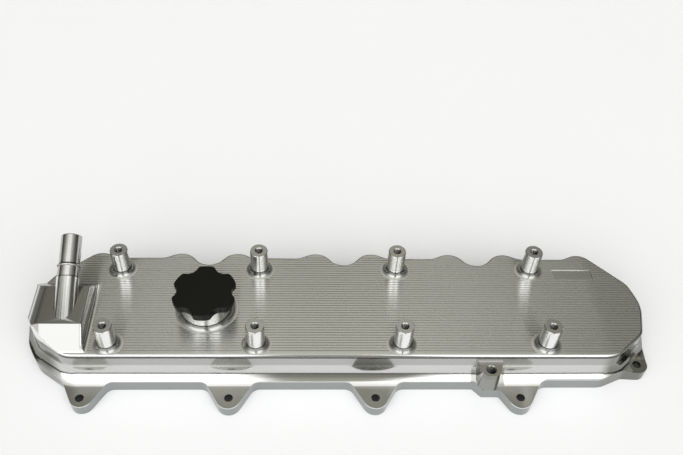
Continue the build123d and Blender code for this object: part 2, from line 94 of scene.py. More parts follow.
def feed(tree: bpy.types.NodeTree, slot: bpy.types.NodeSocket, value: object) -> None:
    """Sets or links one input.

    Args:
        tree: The tree that the input is in.
        slot: The input.
        value: A term, which is linked, or anything else, which is set.
    """
    if isinstance(value, Term):
        tree.links.new(value.socket, slot)
    elif isinstance(value, tuple) and slot.type == "RGBA":
        slot.default_value = (*value, 1.0)
    else:
        slot.default_value = value


def added(
    tree: bpy.types.NodeTree, kind: str, settings: Settings, inputs: dict[object, object]
) -> bpy.types.Node:
    """A new node.

    Args:
        tree: The tree that it is added to.
        kind: Its type.
        settings: Its own properties, which are set first.
        inputs: What its inputs are fed with, by name or number.

    Returns:
        The node.
    """
    node = tree.nodes.new(kind)
    for name, value in settings.items():
        setattr(node, name, value)
    for key, value in inputs.items():
        feed(tree, node.inputs[key], value)
    return node


class Term:
    """One output socket that can be used in ordinary arithmetic."""

    def __init__(self, tree: bpy.types.NodeTree, socket: bpy.types.NodeSocket) -> None:
        """Keeps the tree and the socket."""
        self.tree = tree
        self.socket = socket

    def _math(self, operation: str, *values: Union["Term", Number], clamp: bool = False) -> "Term":
        """One Math node.

        Args:
            operation: The node's operation.
            values: Its inputs in order, sockets or numbers.
            clamp: Whether the result stays from 0 to 1.

        Returns:
            The node's result.
        """
        settings = {"operation": operation, "use_clamp": clamp}
        node = added(self.tree, "ShaderNodeMath", settings, dict(enumerate(values)))
        return Term(self.tree, node.outputs[0])

    def __add__(self, other: Union["Term", Number]) -> "Term":
        """self + other."""
        return self._math("ADD", self, other)

    def __radd__(self, other: Number) -> "Term":
        """other + self."""
        return self._math("ADD", other, self)

    def __sub__(self, other: Union["Term", Number]) -> "Term":
        """self - other."""
        return self._math("SUBTRACT", self, other)

    def __rsub__(self, other: Number) -> "Term":
        """other - self."""
        return self._math("SUBTRACT", other, self)

    def __mul__(self, other: Union["Term", Number]) -> "Term":
        """self * other."""
        return self._math("MULTIPLY", self, other)

    def __rmul__(self, other: Number) -> "Term":
        """other * self."""
        return self._math("MULTIPLY", other, self)

    def __truediv__(self, other: Union["Term", Number]) -> "Term":
        """self / other."""
        return self._math("DIVIDE", self, other)

    def __rtruediv__(self, other: Number) -> "Term":
        """other / self."""
        return self._math("DIVIDE", other, self)

    def __pow__(self, other: Union["Term", Number]) -> "Term":
        """self to the power of other."""
        return self._math("POWER", self, other)

    def __rpow__(self, other: Number) -> "Term":
        """other to the power of self."""
        return self._math("POWER", other, self)

    def __neg__(self) -> "Term":
        """self with its sign turned."""
        return self._math("MULTIPLY", self, -1.0)

    def clamped(self) -> "Term":
        """self held from 0 to 1."""
        return self._math("ADD", self, 0.0, clamp=True)

    def swing(self, reach: Number) -> "Term":
        """A change around zero from a noise that runs from 0 to 1."""
        return (self - 0.5) * reach

    def joined(self, other: "Term", share: Number) -> "Term":
        """self with a share of another term, from 0 to 1."""
        return (self * (1.0 - share) + other * share).clamped()

    def beyond(self, first: Number, pitch: Number) -> "Term":
        """How far self is from the nearest of evenly spaced places.

        Args:
            first: One of the places.
            pitch: The distance between two of them.

        Returns:
            The distance.
        """
        return self._math("PINGPONG", self - first, 0.5 * pitch)

    def ramp(self, low: Number, high: Number) -> "Term":
        """A smooth step of self.

        Args:
            low: Where the result is 0.
            high: Where the result is 1.

        Returns:
            The step, eased at both ends.
        """
        inputs = {"Value": self, "From Min": low, "From Max": high}
        node = added(self.tree, "ShaderNodeMapRange", {"interpolation_type": "SMOOTHSTEP"}, inputs)
        return Term(self.tree, node.outputs["Result"])

    def band(self, low: Number, high: Number, fade: Number) -> "Term":
        """Whether self lies between two values.

        Args:
            low: The lower value.
            high: The higher value.
            fade: How far the result fades beyond them.

        Returns:
            1 between them and 0 beyond the faded edges.
        """
        return self.ramp(low - fade, low) * self.ramp(high + fade, high)


class Nodes:
    """A node tree with short ways to add nodes to it."""

    def __init__(self, tree: bpy.types.NodeTree) -> None:
        """Empties the tree and keeps it."""
        self.tree = tree
        tree.nodes.clear()

    def node(
        self, kind: str, out: int | str = 0, settings: Settings | None = None, **inputs: object
    ) -> Term:
        """Any node.

        Args:
            kind: The node's type.
            out: Which output is returned.
            settings: The node's own properties.
            inputs: Its inputs by name, where an underscore stands for a space.

        Returns:
            The chosen output.
        """
        named = {name.replace("_", " "): value for name, value in inputs.items()}
        return Term(self.tree, added(self.tree, kind, settings or {}, named).outputs[out])

    def end(self, kind: str, name: str, value: Term) -> None:
        """The tree's output node with one input linked."""
        added(self.tree, kind, {}, {name: value})

    def point(self) -> Term:
        """The place on the piece, in metres from the part's origin."""
        return self.node("ShaderNodeTexCoord", "Object")

    def split(self, vector: Term) -> tuple[Term, Term, Term]:
        """The three parts of a vector."""
        node = added(self.tree, "ShaderNodeSeparateXYZ", {}, {"Vector": vector})
        return tuple(Term(self.tree, out) for out in node.outputs)

    def stretched(self, vector: Term, scale: tuple[float, float, float]) -> Term:
        """A vector scaled along each axis."""
        return self.node("ShaderNodeMapping", Vector=vector, Scale=scale)

    def noise(self, vector: Term, kind: Noise) -> Term:
        """Smooth noise from 0 to 1.

        Args:
            vector: Where it is read.
            kind: How coarse and how rough it is.

        Returns:
            The noise's value.
        """
        return self.node(
            "ShaderNodeTexNoise",
            "Fac",
            Vector=vector,
            Scale=kind.scale,
            Detail=kind.detail,
            Roughness=kind.rough,
        )

    def mixed(self, share: Term | Number, first: Term | Colour, second: Term | Colour) -> Term:
        """A colour between two.

        Args:
            share: 0 for the first and 1 for the second.
            first: A colour or a colour output.
            second: A colour or a colour output.

        Returns:
            The mixed colour.
        """
        node = added(self.tree, "ShaderNodeMix", {"data_type": "RGBA"}, {"Factor": share})
        colours = [slot for slot in node.inputs if slot.type == "RGBA"]
        for slot, value in zip(colours, (first, second)):
            feed(self.tree, slot, value)
        return Term(self.tree, next(out for out in node.outputs if out.type == "RGBA"))

    def bump(self, height: Term, strength: Number, distance: Number) -> Term:
        """A bumped normal.

        Args:
            height: The height in units of distance.
            strength: How much of it shows.
            distance: One unit of height in metres.

        Returns:
            The normal.
        """
        return self.node(
            "ShaderNodeBump", "Normal", Height=height, Strength=strength, Distance=distance
        )


def surface(name: str, build: Callable[[Nodes], dict[str, object]]) -> bpy.types.Material:
    """A material of one Principled shader.

    Args:
        name: The material's name.
        build: Gives the shader's inputs by name, numbers or terms.

    Returns:
        The material.
    """
    material = bpy.data.materials.new(name)
    material.use_nodes = True
    shader = Nodes(material.node_tree)
    body = added(shader.tree, "ShaderNodeBsdfPrincipled", {}, build(shader))
    shader.end("ShaderNodeOutputMaterial", "Surface", Term(shader.tree, body.outputs["BSDF"]))
    return material


# Finishes -------------------------------------------------------------------------------------


@dataclass(frozen=True)
class MilledTones:
    """The milled metal's colours and its zones' tones, most of them painted shade and one a painted
    highlight. A zone's tone is its colour and how much of it the zone takes.
    """

    light: Colour = (0.64, 0.64, 0.62)
    dark: Colour = (0.56, 0.56, 0.54)
    # Painted shade on the walls; the posts' tops take the same painted shade.
    wall: Tone = ((0.42, 0.42, 0.41), 0.80)
    # Painted shade on the block's slanted face.
    slant: Tone = ((0.37, 0.37, 0.36), 0.95)
    blend: Tone = ((0.66, 0.66, 0.65), 0.90)
    # Painted shade on the up-facing floor of the recess just below the top.
    recess_painted_shade: Tone = ((0.22, 0.22, 0.205), 0.25)
    # Painted shade on the flange's sides.
    skirt_painted_shade: Tone = ((0.31, 0.33, 0.32), 0.90)
    # Painted highlight along the top edge of the lugs' fronts.
    painted_edge_highlight: Tone = ((0.96, 0.96, 0.95), 1.00)
    # Painted shade on the lug tops and the flange's top.
    lug: Tone = ((0.23, 0.23, 0.21), 0.90)
    # Painted shade at both ends of the cover and the left corner of the slanted face.
    end: Tone = ((0.22, 0.22, 0.20), 1.00)
    # Painted shade on the block's top.
    block_top_painted_shade: Tone = ((0.26, 0.26, 0.24), 0.90)
    # Painted shade inside the lug bores.
    painted_bore_shade: Tone = ((0.05, 0.05, 0.055), 0.90)
    # Painted shade around the boss on the front wall.
    boss: Tone = ((0.23, 0.23, 0.21), 0.80)
    turned: Tone = ((0.88, 0.88, 0.87), 1.00)
    foot: Tone = ((0.40, 0.40, 0.38), 1.00)
    # Painted shade line where the posts' cylinders meet their feet.
    painted_crease_shade: Tone = ((0.05, 0.05, 0.055), 0.90)
    # Painted dark reflection line on the walls under the top's rounded edge.
    painted_rim_shade: Tone = ((0.05, 0.05, 0.055), 1.00)
    # Painted shade on the floors of the rib grooves.
    groove: Tone = ((0.22, 0.22, 0.205), 0.85)


@dataclass(frozen=True)
class MilledZones:
    """Where the milled metal's tones change, in metres, with heights above the sealing face.

    Two values are where a zone begins and where it is full. Three are its low end, its high end
    and how far it fades beyond them.
    """

    flange: Span = mm(10.5, 10.2)
    painted_edge_highlight: Span = mm(9.1, 9.2)
    crest_front: Span = mm(-63.9, -66.9)
    blend: Band = mm(11.0, 23.7, 1.5)
    wall: Band = mm(25.2, 34.1, 2.0)
    painted_rim_shade: Band = mm(33.4, 34.7, 0.2)
    recess_painted_shade: Band = mm(35.3, 36.2, 0.05)
    groove: Band = mm(36.3, 36.45, 0.03)
    raised: Span = mm(36.5, 37.5)
    turned: Span = mm(36.5, 38.5)
    foot: Band = mm(36.7, 41.0, 0.3)
    painted_crease_shade: Band = mm(40.5, 41.4, 0.25)
    block_top: Span = mm(51.5, 51.7)
    post_top: Span = mm(53.0, 53.2)
    past_block: Span = mm(-192.0, -189.0)
    left_end: Span = mm(213.5, 226.5)
    left_corner: Span = mm(226.5, 227.9)
    right_end: Span = mm(200.0, 211.0)
    boss: Band = mm(101.0, 125.5, 1.5)
    boss_front: Span = mm(-40.5, -42.0)
    lug_first: float = -198.09 * MM
    lug_row: float = -60.90 * MM
    lug_pitch: float = 111.76 * MM
    lug_bore: Span = mm(3.6, 3.4)
    upward: Span = (0.75, 0.95)
    slant_low: Span = (0.60, 0.66)
    slant_high: Span = (0.80, 0.74)


@dataclass(frozen=True)
class Spot:
    """A shaded point of the milled metal: its place and what kind of face it lies on."""

    across: Term
    depth: Term
    height: Term
    level: Term
    upward: Term
    upright: Term
    slant: Term
    past_block: Term
    foot: Term
    posts: Term


@dataclass(frozen=True)
class MilledAluminium:
    """Bright milled aluminium with the fine lines that the cutter leaves, and painted shade and a
    painted highlight in its colour by zone.
    """

    tones: MilledTones = MilledTones()
    zones: MilledZones = MilledZones()
    roughness: float = 0.25
    wall_roughness: float = 0.10
    foot_dulling: float = 0.10
    post_dulling: float = 0.03
    # How much of the painted shade at both ends shows.
    end_shade_share: float = 0.97
    # How much the level lines lighten the painted shade in the lug bores, as painted glints.
    bore_painted_glints: float = 0.39
    level_base: float = 0.35
    level_share: float = 0.30
    handled_share: float = 0.40
    spread: float = 0.02
    line_depth: float = 0.0008 * MM
    line_strength: float = 0.20
    cloud: Noise = Noise(34.0, 4.0, 0.55)
    handled: Noise = Noise(9.0)
    draw: float = 0.95

    def lines(self, shader: Nodes, point: Term, cutter: Cutter) -> Term:
        """Fine parallel cutter lines.

        Args:
            shader: The material's tree.
            point: The place on the piece.
            cutter: Which way the lines run.

        Returns:
            Their height from 0 to 1.
        """
        return shader.noise(shader.stretched(point, cutter.value), Noise())

    def spot(self, shader: Nodes, point: Term) -> Spot:
        """What the zones ask about a shaded point.

        Args:
            shader: The material's tree.
            point: The place on the piece.

        Returns:
            The point with its masks.
        """
        zones = self.zones
        facing = shader.split(shader.node("ShaderNodeNewGeometry", "Normal"))[2]
        across, depth, height = shader.split(point)
        upward = facing.ramp(*zones.upward)
        upright = 1.0 - upward
        tilted = facing.ramp(*zones.slant_low) * facing.ramp(*zones.slant_high)
        past_block = across.ramp(*zones.past_block)
        return Spot(
            across=across,
            depth=depth,
            height=height,
            level=self.lines(shader, point, Cutter.LEVEL),
            upward=upward,
            upright=upright,
            slant=tilted * height.ramp(*zones.raised),
            past_block=past_block,
            foot=height.band(*zones.foot) * past_block,
            posts=height.ramp(*zones.turned) * upright,
        )

    def front_zones(self, at: Spot) -> list[tuple[Term, Tone]]:
        """Painted shade on the walls, the block's slanted face, the recess, the flange's sides and
        the lug tops, a painted highlight on the lugs' front edges, and a light tone on the blend.

        Args:
            at: The shaded point.

        Returns:
            Each zone's mask and tone. A later one covers the earlier ones.
        """
        zones, tones = self.zones, self.tones
        flange = at.height.ramp(*zones.flange)
        # Where the painted highlight lies: the top millimetre of the flange's faces in front of the
        # lug row.
        painted_edge_highlight = at.height.ramp(*zones.painted_edge_highlight) * at.depth.ramp(*zones.crest_front)
        return [
            # Painted shade on the walls.
            (at.height.band(*zones.wall) * at.upright, tones.wall),
            # Painted shade on the block's slanted face.
            (at.slant, tones.slant),
            (at.height.band(*zones.blend) * at.upright, tones.blend),
            # Painted shade on the up-facing floor of the recess just below the top.
            (at.height.band(*zones.recess_painted_shade) * at.upward, tones.recess_painted_shade),
            # Painted shade on the flange's sides.
            (flange * at.upright, tones.skirt_painted_shade),
            # Painted highlight along the top edge of the lugs' fronts.
            (flange * painted_edge_highlight * at.upright, tones.painted_edge_highlight),
            # Painted shade on the lug tops and the flange's top.
            (flange * at.upward, tones.lug),
        ]

    def end_zones(self, at: Spot) -> list[tuple[Term, Tone]]:
        """Painted shade on the posts' tops, both ends, the block's top, the lug bores with painted
        glints, and around the front boss.

        Args:
            at: The shaded point.

        Returns:
            Each zone's mask and tone. A later one covers the earlier ones.
        """
        zones, tones = self.zones, self.tones
        left = (-at.across).ramp(*zones.left_end)
        right = at.across.ramp(*zones.right_end)
        below = 1.0 - at.height.ramp(*zones.raised) * right
        # Painted shade on upright faces at both ends, off the slanted face; at the right end only
        # below the top.
        ends = (left + right) * self.end_shade_share * at.upright * (1.0 - at.slant) * below
        # Painted shade on the left corner of the slanted face.
        corner = at.slant * (-at.across).ramp(*zones.left_corner)
        # Painted shade on the block's top.
        block_top = at.height.ramp(*zones.block_top) * at.upward * (1.0 - at.past_block)
        beside = at.across.beyond(zones.lug_first, zones.lug_pitch)
        away = (beside**2.0 + (at.depth - zones.lug_row) ** 2.0) ** 0.5
        # Painted shade inside the lug bores, lightened along the level lines as painted glints.
        painted_bore_shade = away.ramp(*zones.lug_bore) * at.upright * (1.0 - self.bore_painted_glints * at.level)
        # Painted shade around the front boss, above the flange.
        boss = at.across.band(*zones.boss) * at.depth.ramp(*zones.boss_front)
        return [
            # Painted shade on the posts' tops, in the walls' painted shade tone.
            (at.height.ramp(*zones.post_top) * at.upward, tones.wall),
            # Painted shade at both ends and at the slanted face's left corner.
            ((ends + corner).clamped(), tones.end),
            (block_top, tones.block_top_painted_shade),
            (painted_bore_shade, tones.painted_bore_shade),
            (boss * (1.0 - at.height.ramp(*zones.flange)), tones.boss),
        ]

    def raised_zones(self, at: Spot) -> list[tuple[Term, Tone]]:
        """The posts with their feet, a painted shade line where the posts' cylinders meet their
        feet, a painted dark reflection line under the top's rounded edge and painted shade on the
        groove floors.

        Args:
            at: The shaded point.

        Returns:
            Each zone's mask and tone. A later one covers the earlier ones.
        """
        zones, tones = self.zones, self.tones
        return [
            (at.posts * (1.0 - at.slant) * (1.0 - at.foot), tones.turned),
            (at.foot, tones.foot),
            # Painted shade line where the posts' cylinders meet their feet.
            (at.height.band(*zones.painted_crease_shade) * at.upright * at.past_block, tones.painted_crease_shade),
            # Painted dark reflection line on the walls under the top's rounded edge.
            (at.height.band(*zones.painted_rim_shade) * at.upright, tones.painted_rim_shade),
            # Painted shade on the floors of the rib grooves.
            (at.height.band(*zones.groove) * at.upward, tones.groove),
        ]

    def build(self, name: str) -> bpy.types.Material:
        """The material.

        Args:
            name: The material's name.

        Returns:
            A Principled metal with lines in its colour, gloss and normal, and painted shade and a
            painted highlight in its colour.
        """

        def dress(shader: Nodes) -> dict[str, object]:
            """The shader's inputs.

            Args:
                shader: The material's tree.

            Returns:
                The inputs by name.
            """
            point = shader.point()
            at = self.spot(shader, point)
            level = self.level_base + self.level_share * at.level
            lines = self.lines(shader, point, Cutter.ALONG) * at.upward + level * at.upright
            cloud = shader.noise(point, self.cloud)
            handled = shader.noise(point, self.handled)
            gloss = self.wall_roughness + at.upward * (self.roughness - self.wall_roughness)
            gloss = gloss + at.foot * self.foot_dulling + at.posts * self.post_dulling
            tone = shader.mixed(
                lines.joined(handled, self.handled_share), self.tones.dark, self.tones.light
            )
            zones = self.front_zones(at) + self.end_zones(at) + self.raised_zones(at)
            # Painted shade and the painted highlight, zone by zone, over the metal's own tone.
            for mask, (colour, share) in zones:
                tone = shader.mixed(mask * share, tone, colour)
            return {
                "Base Color": tone,
                "Metallic": 1.0,
                "Roughness": gloss + lines.swing(self.spread) + cloud.swing(self.spread),
                "Anisotropic": self.draw,
                "Anisotropic Rotation": QUARTER_TURN,
                "Normal": shader.bump(lines, self.line_strength, self.line_depth),
            }

        return surface(name, dress)


@dataclass(frozen=True)
class TurnedAluminium:
    """Bright turned aluminium with rings around its axis, which leans back by tilt_deg."""

    light: Colour = (0.60, 0.59, 0.57)
    dark: Colour = (0.48, 0.47, 0.455)
    roughness: float = 0.20
    tilt_deg: float = 0.0
    marks: tuple[Span, ...] = ()
    mark: Colour = (0.05, 0.05, 0.05)
    mark_fade: float = 0.15 * MM
    ring_stretch: tuple[float, float, float] = (9.0, 9.0, 1900.0)
    ring_depth: float = 0.0015 * MM
    ring_strength: float = 0.5
    ring_gloss: float = 0.06
    ring: Noise = Noise(1.0, 3.0, 0.6)
    cloud: Noise = Noise(60.0, 3.0)
    cloud_gloss: float = 0.04
    cloud_share: float = 0.3
    draw: float = 0.8

    def build(self, name: str) -> bpy.types.Material:
        """The material.

        Args:
            name: The material's name.

        Returns:
            A Principled metal with turning rings.
        """

        def dress(shader: Nodes) -> dict[str, object]:
            """The shader's inputs.

            Args:
                shader: The material's tree.

            Returns:
                The inputs by name.
            """
            lean = (math.radians(90.0 - self.tilt_deg), 0.0, 0.0)
            turned = shader.node("ShaderNodeMapping", Vector=shader.point(), Rotation=lean)
            rings = shader.noise(shader.stretched(turned, self.ring_stretch), self.ring)
            cloud = shader.noise(turned, self.cloud)
            tone = shader.mixed(rings.joined(cloud, self.cloud_share), self.dark, self.light)
            along = shader.split(turned)[2]
            for low, high in self.marks:
                tone = shader.mixed(along.band(low, high, self.mark_fade), tone, self.mark)
            gloss = self.roughness + rings.swing(self.ring_gloss) + cloud.swing(self.cloud_gloss)
            return {
                "Base Color": tone,
                "Metallic": 1.0,
                "Roughness": gloss,
                "Anisotropic": self.draw,
                "Anisotropic Rotation": QUARTER_TURN,
                "Normal": shader.bump(rings, self.ring_strength, self.ring_depth),
            }

        return surface(name, dress)


@dataclass(frozen=True)
class BlackAnodised:
    """Black anodised aluminium, satin."""

    black: Colour = (0.002, 0.002, 0.0017)
    worn: Colour = (0.005, 0.005, 0.0044)
    roughness: float = 0.22
    specular: float = 0.22
    cloud: Noise = Noise(60.0, 3.0)
    grain: Noise = Noise(2600.0, rough=0.6)
    cloud_gloss: float = 0.10
    grain_gloss: float = 0.06
    grain_share: float = 0.3
    grain_depth: float = 0.006 * MM
    grain_strength: float = 0.25

    def build(self, name: str) -> bpy.types.Material:
        """The material.

        Args:
            name: The material's name.

        Returns:
            A dark satin Principled shader.
        """

        def dress(shader: Nodes) -> dict[str, object]:
            """The shader's inputs.

            Args:
                shader: The material's tree.

            Returns:
                The inputs by name.
            """
            point = shader.point()
            grain = shader.noise(point, self.grain)
            cloud = shader.noise(point, self.cloud)
            gloss = self.roughness + cloud.swing(self.cloud_gloss) + grain.swing(self.grain_gloss)
            return {
                "Base Color": shader.mixed(
                    cloud.joined(grain, self.grain_share), self.black, self.worn
                ),
                "Metallic": 0.0,
                "Roughness": gloss,
                "Specular IOR Level": self.specular,
                "Normal": shader.bump(grain, self.grain_strength, self.grain_depth),
            }

        return surface(name, dress)


@dataclass(frozen=True)
class Rubber:
    """Black moulded rubber."""

    deep: Colour = (0.016, 0.016, 0.016)
    dusty: Colour = (0.034, 0.034, 0.033)
    roughness: float = 0.62
    cloud: Noise = Noise(120.0, 4.0, 0.6)
    grain: Noise = Noise(1800.0, rough=0.6)
    cloud_gloss: float = 0.16
    grain_depth: float = 0.02 * MM
    grain_strength: float = 0.4

    def build(self, name: str) -> bpy.types.Material:
        """The material.

        Args:
            name: The material's name.

        Returns:
            A matt Principled shader.
        """

        def dress(shader: Nodes) -> dict[str, object]:
            """The shader's inputs.

            Args:
                shader: The material's tree.

            Returns:
                The inputs by name.
            """
            point = shader.point()
            cloud = shader.noise(point, self.cloud)
            grain = shader.noise(point, self.grain)
            return {
                "Base Color": shader.mixed(cloud, self.deep, self.dusty),
                "Roughness": self.roughness + cloud.swing(self.cloud_gloss),
                "Normal": shader.bump(grain, self.grain_strength, self.grain_depth),
            }

        return surface(name, dress)


@dataclass(frozen=True)
class PlatedSteel:
    """Zinc plated steel."""

    light: Colour = (0.66, 0.66, 0.64)
    dark: Colour = (0.50, 0.50, 0.50)
    roughness: float = 0.32
    mottle: Noise = Noise(420.0, 4.0, 0.6)
    grain: Noise = Noise(3000.0, rough=0.6)
    mottle_gloss: float = 0.18
    grain_depth: float = 0.005 * MM
    grain_strength: float = 0.3

    def build(self, name: str) -> bpy.types.Material:
        """The material.

        Args:
            name: The material's name.

        Returns:
            A Principled metal with a mottled gloss.
        """

        def dress(shader: Nodes) -> dict[str, object]:
            """The shader's inputs.

            Args:
                shader: The material's tree.

            Returns:
                The inputs by name.
            """
            point = shader.point()
            mottle = shader.noise(point, self.mottle)
            grain = shader.noise(point, self.grain)
            return {
                "Base Color": shader.mixed(mottle, self.dark, self.light),
                "Metallic": 1.0,
                "Roughness": self.roughness + mottle.swing(self.mottle_gloss),
                "Normal": shader.bump(grain, self.grain_strength, self.grain_depth),
            }

        return surface(name, dress)


@dataclass(frozen=True)
class StudioPaper:
    """The pale paper that the cover stands on."""

    light: Colour = (0.94, 0.94, 0.96)
    dark: Colour = (0.92, 0.92, 0.94)
    roughness: float = 0.9
    cloud: Noise = Noise(3.0, 3.0)
    cloud_gloss: float = 0.1
    specular: float = 0.1

    def build(self, name: str) -> bpy.types.Material:
        """The material.

        Args:
            name: The material's name.

        Returns:
            A matt pale Principled shader.
        """

        def dress(shader: Nodes) -> dict[str, object]:
            """The shader's inputs.

            Args:
                shader: The material's tree.

            Returns:
                The inputs by name.
            """
            cloud = shader.noise(shader.point(), self.cloud)
            return {
                "Base Color": shader.mixed(cloud, self.dark, self.light),
                "Roughness": self.roughness + cloud.swing(self.cloud_gloss),
                "Specular IOR Level": self.specular,
            }

        return surface(name, dress)


# Meshes ---------------------------------------------------------------------------------------


def link(name: str, mesh: bpy.types.Mesh, material: bpy.types.Material) -> bpy.types.Object:
    """An object at the origin with one material.

    Args:
        name: The piece's name.
        mesh: Its mesh, in place.
        material: Its finish.

    Returns:
        The linked object.
    """
    mesh.materials.clear()
    mesh.materials.append(material)
    piece = bpy.data.objects.new(name, mesh)
    bpy.context.scene.collection.objects.link(piece)
    return piece


def settled(piece: bpy.types.Object) -> bpy.types.Object:
    """The piece with its modifiers made part of its mesh.

    Args:
        piece: An object with modifiers.

    Returns:
        The same object, with a plain mesh and no modifiers.
    """
    graph = bpy.context.evaluated_depsgraph_get()
    mesh = bpy.data.meshes.new_from_object(piece.evaluated_get(graph), depsgraph=graph)
    piece.modifiers.clear()
    piece.data = mesh
    return piece


def level_grain(piece: bpy.types.Object, far: float = 50.0) -> bpy.types.Object:
    """Turns a piece's gloss so that it spreads across level cutter lines.

    The renderer stretches gloss around the middle of the mesh's texture space. With that middle
    far in front of the piece, the stretch keeps one direction all over it.

    Args:
        piece: The piece, with a plain mesh.
        far: How far in front of the piece the middle is set, in metres.

    Returns:
        The same piece.
    """
    mesh = piece.data
    mesh.use_auto_texspace = False
    mesh.texspace_location = (0.0, -far, 0.0)
    mesh.texspace_size = (1.0, 1.0, 1.0)
    return piece


def cleaned(mesh: bpy.types.Mesh, join: float, outwards: bool = False) -> None:
    """Joins a mesh's doubles.

    Args:
        mesh: The mesh, changed in place.
        join: How near two points are that become one, in metres.
        outwards: Whether its faces are also pointed outwards.
    """
    work = bmesh.new()
    work.from_mesh(mesh)
    bmesh.ops.remove_doubles(work, verts=work.verts, dist=join)
    if outwards:
        bmesh.ops.recalc_face_normals(work, faces=work.faces)
    work.to_mesh(mesh)
    work.free()


@dataclass
class SolidCopy:
    """A copy of a CAD piece with its faces joined and its blends shaded smooth."""

    node: str
    sharp_deg: float = 32.0
    join: float = 0.002 * MM
    large_face_weight: int = 100

    def build(self, name: str, material: bpy.types.Material) -> bpy.types.Object:
        """The smooth copy.

        Args:
            name: The piece's name.
            material: Its finish.

        Returns:
            The object, not yet riding on anything.
        """
        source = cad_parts[self.node]
        mesh = source.data.copy()
        mesh.transform(source.matrix_world)
        if "custom_normal" in mesh.attributes:
            mesh.attributes.remove(mesh.attributes["custom_normal"])
        cleaned(mesh, self.join)
        mesh.shade_smooth()
        mesh.set_sharp_from_angle(angle=math.radians(self.sharp_deg))
        piece = link(name, mesh, material)
        weighted = piece.modifiers.new("weighted", "WEIGHTED_NORMAL")
        weighted.keep_sharp = True
        weighted.mode = "FACE_AREA"
        weighted.weight = self.large_face_weight
        return level_grain(settled(piece))


@dataclass
class ThreadTurns:
    """Thread turns swept along helices that start at given points.

    Attributes:
        radius: The helix's radius.
        pitch: Its rise in one turn.
        turns: How many turns it has.
        section: The radius of the swept section.
        sides: How many sides the section has.
        steps: How many steps one turn has.
        join: How near two points are that become one.
    """

    radius: float
    pitch: float
    turns: float
    section: float
    sides: int = 3
    steps: int = 24
    join: float = 0.001 * MM

    def tree(self, material: bpy.types.Material) -> tuple[bpy.types.NodeTree, dict[str, str]]:
        """The tree that sweeps the turns and repeats them at every point.

        Args:
            material: The turns' finish.

        Returns:
            The tree and the identifier of each named input.
        """
        nodes = Nodes(bpy.data.node_groups.new("thread_turns", "GeometryNodeTree"))
        sockets = nodes.tree.interface
        sockets.new_socket("Starts", in_out="INPUT", socket_type="NodeSocketGeometry")
        names = {}
        for name in ("Radius", "Pitch", "Turns", "Section"):
            item = sockets.new_socket(name, in_out="INPUT", socket_type="NodeSocketFloat")
            names[name] = item.identifier
        sockets.new_socket("Threads", in_out="OUTPUT", socket_type="NodeSocketGeometry")
        source = added(nodes.tree, "NodeGroupInput", {}, {})
        given = {out.name: Term(nodes.tree, out) for out in source.outputs}
        helix = nodes.node(
            "GeometryNodeCurveSpiral",
            Resolution=self.steps,
            Rotations=given["Turns"],
            Start_Radius=given["Radius"],
            End_Radius=given["Radius"],
            Height=given["Pitch"] * given["Turns"],
        )
        helix = nodes.node("GeometryNodeSetCurveNormal", settings={"mode": "Z_UP"}, Curve=helix)
        profile = nodes.node(
            "GeometryNodeCurvePrimitiveCircle", Resolution=self.sides, Radius=given["Section"]
        )
        turns = nodes.node(
            "GeometryNodeCurveToMesh", Curve=helix, Profile_Curve=profile, Fill_Caps=True
        )
        turns = nodes.node("GeometryNodeInstanceOnPoints", Points=given["Starts"], Instance=turns)
        turns = nodes.node("GeometryNodeRealizeInstances", Geometry=turns)
        turns = nodes.node("GeometryNodeSetMaterial", Geometry=turns, Material=material)
        nodes.end("NodeGroupOutput", "Threads", turns)
        return nodes.tree, names

    def build(
        self, name: str, starts: list[Vector], material: bpy.types.Material
    ) -> bpy.types.Object:
        """The turns as one plain mesh.

        Args:
            name: The piece's name.
            starts: The middle of the first turn of each thread.
            material: The turns' finish.

        Returns:
            The object, not yet riding on anything.
        """
        mesh = bpy.data.meshes.new(name)
        mesh.from_pydata([tuple(start) for start in starts], [], [])
        piece = link(name, mesh, material)
        tree, names = self.tree(material)
        modifier = piece.modifiers.new("thread_turns", "NODES")
        modifier.node_group = tree
        for key, identifier in names.items():
            modifier[identifier] = float(getattr(self, key.lower()))
        settled(piece)
        cleaned(piece.data, self.join, outwards=True)
        return level_grain(piece)


# Sub-assemblies -------------------------------------------------------------------------------


@dataclass
class Cover:
    """The milled body with its seal."""

    metal: MilledAluminium = MilledAluminium()
    rubber: Rubber = Rubber()

    def build(self) -> list[bpy.types.Object]:
        """The body and the seal in its groove.

        Returns:
            The pieces.
        """
        body = SolidCopy("cover_body").build("milled_cover", self.metal.build("milled_aluminium"))
        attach(body, "cover")
        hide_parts("cover_body")
        seal = SolidCopy("perimeter_seal").build("seal_cord", self.rubber.build("seal_rubber"))
        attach(seal, "cover")
        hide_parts("perimeter_seal")
        return [body, seal]


